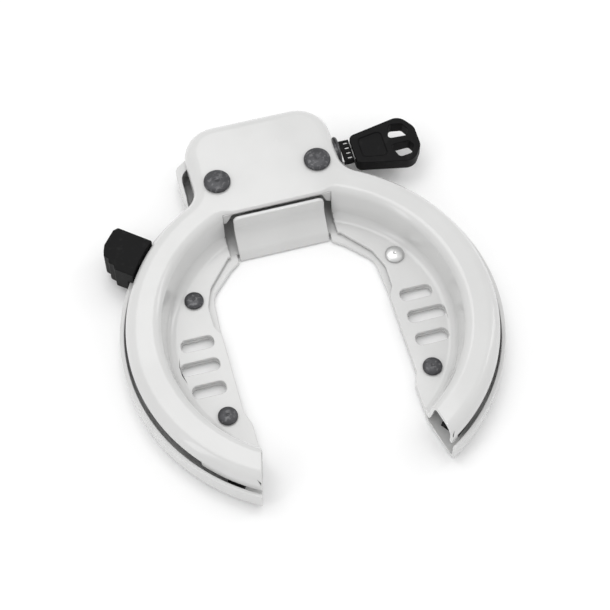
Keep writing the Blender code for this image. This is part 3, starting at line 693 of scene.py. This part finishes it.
def coilTree():  # a wire wound round a line that follows the ring
    inputs = {**ringInputs, "Coil Radius": "Float", "Wire Radius": "Float", "Turns": "Float"}
    inputs["Finish"] = "Material"
    board, wires, sink = newTree("coil", inputs)
    line = board.add("GeometryNodeCurvePrimitiveLine")
    fine = board.add("GeometryNodeResampleCurve", None, {"Curve": line, "Count": wires["Turns"] * 26})
    share = board.add("GeometryNodeSplineParameter")
    closed = 0.06  # the end coils lie close together
    eased = board.between(share, closed, 1 - closed) * 0.35 + share * 0.65
    turn = share * wires["Turns"] * (2 * pi)
    out, up = wires["Coil Radius"] * board.cosine(turn), wires["Coil Radius"] * board.sine(turn)
    place = onRing(board, wires, eased, out, up)
    wound = board.add("GeometryNodeSetPosition", None, {0: fine, "Position": place})
    values = {"Resolution": 12, "Radius": wires["Wire Radius"]}
    ring = board.add("GeometryNodeCurvePrimitiveCircle", None, values)
    values = {"Curve": wound, "Profile Curve": ring, "Fill Caps": True}
    return closeTree(board, wires, sink, board.add("GeometryNodeCurveToMesh", None, values))


def scatterTree():  # one shape on each point of the start mesh, each turned about Z by chance
    inputs = {"Shape": "Object", "Seed": "Int", "Finish": "Material"}
    board, wires, sink = newTree("scatter", inputs)
    shape = board.add("GeometryNodeObjectInfo", None, {"Object": wires["Shape"]}, out=4)
    values = {0: (0.0, 0.0, 0.0), 1: (0.0, 0.0, 2 * pi), "Seed": wires["Seed"]}
    turn = board.add("FunctionNodeRandomValue", {"data_type": "FLOAT_VECTOR"}, values)
    values = {"Points": wires["Geometry"], "Instance": shape, "Rotation": turn}
    return closeTree(board, wires, sink, board.add("GeometryNodeInstanceOnPoints", None, values))


trees = {"ringBar": ringBarTree(), "coil": coilTree(), "scatter": scatterTree()}
print("geometry trees ready:", len(trees))


def repeated(body, places, finish, seed=3):
    points = bmesh.new()
    for place in places:
        points.verts.new(place)
    start = bpy.data.meshes.new("places")
    points.to_mesh(start)
    points.free()
    shape = helper(meshOf(body))
    values = {"Shape": shape, "Seed": seed, "Finish": finishes[finish]}
    mesh = grown(trees["scatter"], values, start)
    bpy.data.objects.remove(shape)
    return mesh


# Rivets

rivets = dict(flange=(2.0, 3.6, 1.6, 3.0), housing=(1.75, 5.1, 2.0, 2.7), skirtShare=0.35, lift=0.25,
              tailLow=0.2, tailHigh=1.55)


def rivetBody(sizes, seat):  # domed head with a small dimple, tail closed in the back
    shank, head, height, tail = sizes
    skirtTop = seat + rivets["skirtShare"] * height
    top = seat + height
    angles = [radians(9 * k) for k in range(2, 11)]
    dome = [(head * sin(a), skirtTop + (top - skirtTop) * cos(a)) for a in angles]
    crown = [(0, top - 0.24), (0.13 * head, top - 0.2), (0.2 * head, top - 0.02)]
    skirt = [(head, seat + 0.08 * height), (head - 0.12, seat), (shank, seat), (shank, rivets["tailHigh"])]
    skirt += [(tail, rivets["tailLow"]), (0, rivets["tailLow"])]
    return lathed((crown + dome + skirt)[::-1], 56)


def makeRivets():
    seat = 2 * shell["sheet"] + shell["gap"] + rivets["lift"]
    dark = [name for name in flangeRivets if name != "flange_rivet_upper_right"]
    groups = [("flangeRivets", "flange", seat, dark, "dark_steel")]
    groups.append(("brightRivet", "flange", seat, ["flange_rivet_upper_right"], "bright_steel"))
    groups.append(("housingRivets", "housing", shell["top"] + rivets["lift"], housingRivets, "dark_steel"))
    for name, size, height, nodes, slot in groups:
        places = [(middleOf(node).x, middleOf(node).y, 0) for node in nodes]
        mesh = repeated(rivetBody(rivets[size], height), places, slot)
        mesh.transform(toFrame)
        finished(name, mesh, slot, "housing", nodes)


# Shackle, its knob and the springs

shackle = dict(radius=60.8, bar=4.1, tail=13.0, tip=234.0, travel=75.0, dome=3.2, latch=(-8.1, -1.8),
               notchFloor=62.1, notchPlay=0.5, notchZ=(5.7, 11.8), seatFloor=61.7)
knob = dict(angle=140.5, gap=0.4, low=3.5, high=15.5, sides=(-5.6, 11.0),
            steps=[(75.2, 11.0, 0.5), (76.2, 9.6, 0.6), (78.4, 9.4, 0.7), (79.4, 7.8, 0.6), (81.4, 7.5, 0.7),
                   (82.4, 5.7, 0.6), (83.4, 3.2, 0.9), (83.4, -3.8, 1.2), (82.2, -5.6, 1.0)],
            carrierHalf=3.6, carrier=(9.8, 11.6), carrierEnd=80.5, play=0.3,
            pinAt=77.0, pinHole=1.3, pinTop=14, edge=0.45)


def carrierRoom(near, far):  # the knob's carrier with play on all four sides
    half, play = knob["carrierHalf"] + knob["play"], knob["play"]
    return brick((near, far), (-half, half), (knob["carrier"][0] - play, knob["carrier"][1] + play))


def shackleRod():
    sweep = radians(shackle["tip"] - shackle["tail"])
    values = {"Ring Radius": shackle["radius"], "Start": radians(shackle["tail"]), "Sweep": sweep,
              "Height": middleZ, "Bar Radius": shackle["bar"], "Dome Share": radians(shackle["dome"]) / sweep,
              "Finish": finishes["bright_steel"]}
    body = bmesh.new()
    body.from_mesh(grown(trees["ringBar"], values))
    xs = (shackle["latch"][0] - shackle["notchPlay"], shackle["latch"][1] + shackle["notchPlay"])
    cutters = []
    for turn in (0, -radians(shackle["travel"])):
        notch = brick(xs, (shackle["notchFloor"], shell["wall"] + 0.2), shackle["notchZ"])
        cutters.append(turnedTo(notch, turn))
    cutters.append(turnedTo(carrierRoom(shackle["seatFloor"], 70), radians(knob["angle"])))
    body = carved(body, cutters)
    finished("shackleRod", body, "bright_steel", "shackle", ["shackle_rod"])


def shackleKnob():
    low, high = knob["low"], knob["high"]
    inner = shell["wall"] + knob["gap"]
    near, far = knob["sides"]
    first, last = asin(near / inner), asin(far / inner)
    corners = [(70, far, 0), *knob["steps"], (70, near, 0)]
    steps = roundedOutline(corners, closed=False, steps=4)[1:-1]
    body = raised(arcPoints((0, 0), inner, first, last - first, 16) + steps, low, high)
    pocket = carrierRoom(inner - 2, knob["carrierEnd"] + knob["play"])
    rim = shell["wall"] + shell["rimStep"] + knob["gap"]
    ledge = shell["rimTop"] + knob["gap"]
    band = [(inner - 4, low - 1), (rim, low - 1), (rim, ledge), (inner - 4, ledge)]
    overRim = sweptRound(band, [radians(-16 + 2 * k) for k in range(17)])
    pinHole = raised(circlePoints((knob["pinAt"], 0), knob["pinHole"]), low - 5, knob["pinTop"])
    body = tidied(carved(body, [pocket, overRim, pinHole]), merge=0.01, flat=0.1)
    body = turnedTo(body, radians(knob["angle"]))
    finished("shackleKnob", body, "black_plastic", "shackle", ["shackle_knob"], soft=knob["edge"],
             bendLimit=30)


springs = dict(start=-19.0, end=12.0, coil=3.0, wire=0.45, turns=13.0)


def returnSpring():
    sweep = radians(springs["end"] - springs["start"])
    values = {"Ring Radius": shackle["radius"], "Start": radians(springs["start"]), "Sweep": sweep,
              "Height": middleZ, "Coil Radius": springs["coil"], "Wire Radius": springs["wire"],
              "Turns": springs["turns"], "Finish": finishes["spring_steel"]}
    mesh = grown(trees["coil"], values)
    mesh.transform(toFrame)
    piece = finished("returnSpring", mesh, "spring_steel", None, ["return_spring"])
    ends = [toFrame @ Vector((shackle["radius"] * cos(a), shackle["radius"] * sin(a), middleZ))
            for a in (radians(springs["start"] + 0.5), radians(springs["end"] - 0.5))]
    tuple(ends[0])
    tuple(ends[1])
    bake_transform(piece)


latchSpringSizes = dict(near=80.8, far=85.0, coil=2.2, wire=0.3, turns=4.5, z=7.65, farRing=4000.0)


def latchSpring():
    s = latchSpringSizes
    reach = s["farRing"]  # so wide a ring that the line is straight over the spring's length
    values = {"Ring Radius": reach, "Start": 0.0, "Sweep": (s["far"] - s["near"]) / reach, "Height": 0.0,
              "Coil Radius": s["coil"], "Wire Radius": s["wire"], "Turns": s["turns"],
              "Finish": finishes["spring_steel"]}
    mesh = grown(trees["coil"], values)
    x = sum(shackle["latch"]) / 2
    mesh.transform(Matrix.Translation((x - reach, s["near"], s["z"])))
    mesh.transform(toFrame)
    piece = finished("latchSpring", mesh, "spring_steel", None, ["latch_spring"])
    ends = [toFrame @ Vector((x, y, s["z"])) for y in (s["near"] + 0.4, s["far"] - 0.4)]
    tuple(ends[0])
    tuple(ends[1])
    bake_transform(piece)


# Cylinder and key

key = dict(drop=1.2, half=[(35.6, 6.6, 2.5), (57.4, 11.0, 5.0), (61.8, 4.5, 5.0)],
           eye=[(50.2, 1.7, 1.2), (57.8, 1.3, 1.3), (59.1, 4.0, 1.3), (57.4, 7.2, 1.4), (52.4, 8.0, 1.6)],
           thick=2.6, bladeHalf=2.4, bladeThick=0.9, tip=6.0, shoulder=30.6, root=45.0, wide=4.6,
           wafers=(9.0, 13.0, 17.0, 21.0, 25.0), cut=0.5, play=0.25, neck=(31.3, 35.3), slits=4,
           wardDepth=0.35, wardHalf=0.45, panelDepth=0.35)


def onAxis(xs, half, thick):  # a block along the cylinder's axis
    return brick(xs, (cylinderY - half, cylinderY + half), (middleZ - thick, middleZ + thick))


def cylinderParts():
    collar = [(4.35, 25.4), (6.0, 25.4), (6.0, 29.25), (6.75, 29.25), (6.9, 29.4), (6.9, 29.7)]
    collar += [(6.8, 29.95), (6.55, 30.15), (6.2, 30.2), (4.6, 30.2), (4.42, 30.1), (4.35, 29.9)]
    finished("cylinderCollar", alongX(lathed(collar, 64)), "dark_steel", "housing", ["cylinder_collar"])
    plug = lathed([(0, 1.5), (4.1, 1.5), (4.1, 29.7), (4.0, 29.92), (3.8, 30.0), (0, 30.0)], 64)
    cutters = [onAxis((4.5, 32), key["bladeHalf"] + key["play"], key["bladeThick"] + key["play"])]
    cutters += [onAxis((x - 0.6, x + 0.6), 6, 2.5) for x in key["wafers"]]
    finished("cylinderPlug", carved(alongX(plug), cutters), "brass", "cylinder", ["cylinder_plug"])


def keyBlade():
    tip, half, wide = key["tip"], key["bladeHalf"], key["wide"]
    root, shoulder = key["root"], key["shoulder"]
    outline = [(root, -wide), (root, wide), (shoulder, wide), (shoulder, half)]
    outline += [(tip + 2, half), (tip, 0.3), (tip, -0.3), (tip + 2, -half)]
    for x in key["wafers"]:
        floor = key["cut"] - half
        outline += [(x - 1.2, -half), (x - 0.5, floor), (x + 0.5, floor), (x + 1.2, -half)]
    outline += [(shoulder, -half), (shoulder, -wide)]
    outline = [(x, y + cylinderY) for x, y in outline]
    thick = key["bladeThick"]
    body = raised(outline, middleZ - thick, middleZ + thick)
    grooves = []
    for y, side in ((0.55, 1), (-0.75, -1)):  # milled along both faces, where the ward runs
        ys = (cylinderY + y - key["wardHalf"], cylinderY + y + key["wardHalf"])
        faceZ = middleZ + side * thick
        grooves.append(brick((tip - 1, root - 6), ys, (faceZ - key["wardDepth"], faceZ + key["wardDepth"])))
    body = tidied(carved(body, grooves), merge=0.01, flat=0.1)
    finished("keyBlade", body, "bright_steel", "key", ["key_blade"], soft=0.08, rounds=2)


def keyHead():
    middle = cylinderY - key["drop"]
    corners = [(x, -y, r) for x, y, r in key["half"]] + [(x, y, r) for x, y, r in reversed(key["half"])]
    outline = roundedOutline([(x, y + middle, r) for x, y, r in corners], steps=10)
    thick, play, depth = key["thick"], key["play"], key["panelDepth"]
    body = raised(outline, middleZ - thick, middleZ + thick)
    cutters = [onAxis((33, key["root"] + play), key["wide"] + play, key["bladeThick"] + play)]
    for side in (-1, 1):
        eye = roundedOutline([(x, y, r) for x, y, r in key["eye"]], steps=6)
        cutters.append(raised([(x, middle + side * y) for x, y in eye], 0, 20))
    for side in (-1, 1):  # a plain shallow panel on each face
        face = middleZ + side * thick
        panel = [(38.6, -4.4, 1.6), (48.2, -6.0, 1.8), (48.2, 6.0, 1.8), (38.6, 4.4, 1.6)]
        panel = [(x, y + middle) for x, y in roundedOutline(panel, steps=6)]
        cutters.append(raised(panel, face - depth, face + depth))
    body = tidied(carved(body, cutters), merge=0.01, flat=0.1)
    finished("keyHead", body, "black_plastic", "key", ["key_head"], soft=0.32, bendLimit=45, rounds=3)


def keyNeck():  # the moulding runs a little way down the blade, with four slits that show the metal
    low, high = key["neck"]
    body = onAxis((low, high), key["wide"] + 0.2, key["bladeThick"] + 0.55)
    cutters = [onAxis((low - 1, high + 1), key["wide"] + 0.05, key["bladeThick"] + 0.05)]
    for k in range(key["slits"]):
        y = cylinderY - 3.45 + 2.3 * k
        cutters.append(brick((low + 1.6, high - 0.7), (y - 0.45, y + 0.45), (middleZ - 4, middleZ + 4)))
    body = tidied(carved(body, cutters), merge=0.01, flat=0.1)
    finished("keyNeck", body, "black_plastic", "key", [], soft=0.12, rounds=2)


frontShell()
backShell()
guardPlate()
makeRivets()
shackleRod()
shackleKnob()
returnSpring()
latchSpring()
cylinderParts()
keyBlade()
keyHead()
keyNeck()

for part in frame["record"]["subparts"]:  # the nodes that stay get their finish
    node = frame["nodes"][part["node"]]
    if not node.hide_render:
        node.material_slots[0].material = finishes[part["material_slot"]]
print("carried-over nodes finished")


# Floor, light and camera

studio = dict(floorHalf=3.0, floorZ=-0.0003, world=0.9, aim=(0, -0.04, 0), lamps={  # place, size, power
    "overheadBox": ((-0.15, 0.35, 1.1), (0.9, 0.6), 2.9),
    "leftStrip": ((-0.9, -0.35, 0.55), (0.18, 0.9), 1.0),
    "rightStrip": ((0.85, 0.15, 0.6), (0.15, 0.7), 0.7),
    "smallLamp": ((0.12, 0.1, 0.95), (0.05, 0.05), 0.25),
})


def makeFloor():
    body = bmesh.new()
    half = studio["floorHalf"]
    corners = [(-half, -half), (half, -half), (half, half), (-half, half)]
    body.faces.new([body.verts.new((x, y, studio["floorZ"])) for x, y in corners])
    mesh = meshOf(body)

    def paint(board, place):
        cloud = board.noise(place, 6.0, 3.0)
        tone = board.mixed(cloud, (0.9, 0.9, 0.9, 1), (0.94, 0.94, 0.94, 1))
        return {"Base Color": tone, "Roughness": 0.7 + 0.1 * cloud}

    mesh.materials.append(newMaterial("studioFloor", {"Specular IOR Level": 0.2}, paint))
    floor = bpy.data.objects.new("floor", mesh)
    bpy.context.scene.collection.objects.link(floor)


def areaLight(name, place, size, power):
    lamp = bpy.data.lights.new(name, "AREA")
    lamp.shape = "RECTANGLE"
    lamp.size, lamp.size_y = size
    lamp.energy = power
    light = bpy.data.objects.new(name, lamp)
    light.location = place
    light.rotation_euler = (Vector(studio["aim"]) - Vector(place)).to_track_quat("-Z", "Y").to_euler()
    bpy.context.scene.collection.objects.link(light)


def makeLight():
    world = bpy.data.worlds.new("studio")
    world.use_nodes = True
    ground = world.node_tree.nodes["Background"]
    ground.inputs["Color"].default_value = (1, 1, 1, 1)
    ground.inputs["Strength"].default_value = studio["world"]
    bpy.context.scene.world = world
    for name, (place, size, power) in studio["lamps"].items():
        areaLight(name, place, size, power)


view = dict(azimuth=-15.27, elevation=59.46, distance=0.5914, across=-0.00288, along=0.01062,
            frontFace=0.0035, focal=1610.2, width=610)


def makeCamera():
    turn, tilt = radians(view["azimuth"]), radians(view["elevation"])
    back = Vector((sin(turn) * cos(tilt), -cos(turn) * cos(tilt), sin(tilt)))
    right = Vector((cos(turn), sin(turn), 0))
    up = back.cross(right)
    lens = bpy.data.cameras.new("camera")
    lens.sensor_width = 36
    lens.lens = view["focal"] / view["width"] * lens.sensor_width
    lens.clip_start = 0.01
    camera = bpy.data.objects.new("camera", lens)
    centre = Vector((0, hinge["pos_m"][1], view["frontFace"]))
    spot = centre + back * view["distance"] + right * view["across"] + up * view["along"]
    turned = Matrix((right, up, back)).transposed().to_4x4()
    camera.matrix_world = Matrix.Translation(spot) @ turned
    bpy.context.scene.collection.objects.link(camera)
    bpy.context.scene.camera = camera


makeFloor()
makeLight()
makeCamera()
bpy.context.scene.view_settings.view_transform = "Standard"
print("studio ready")
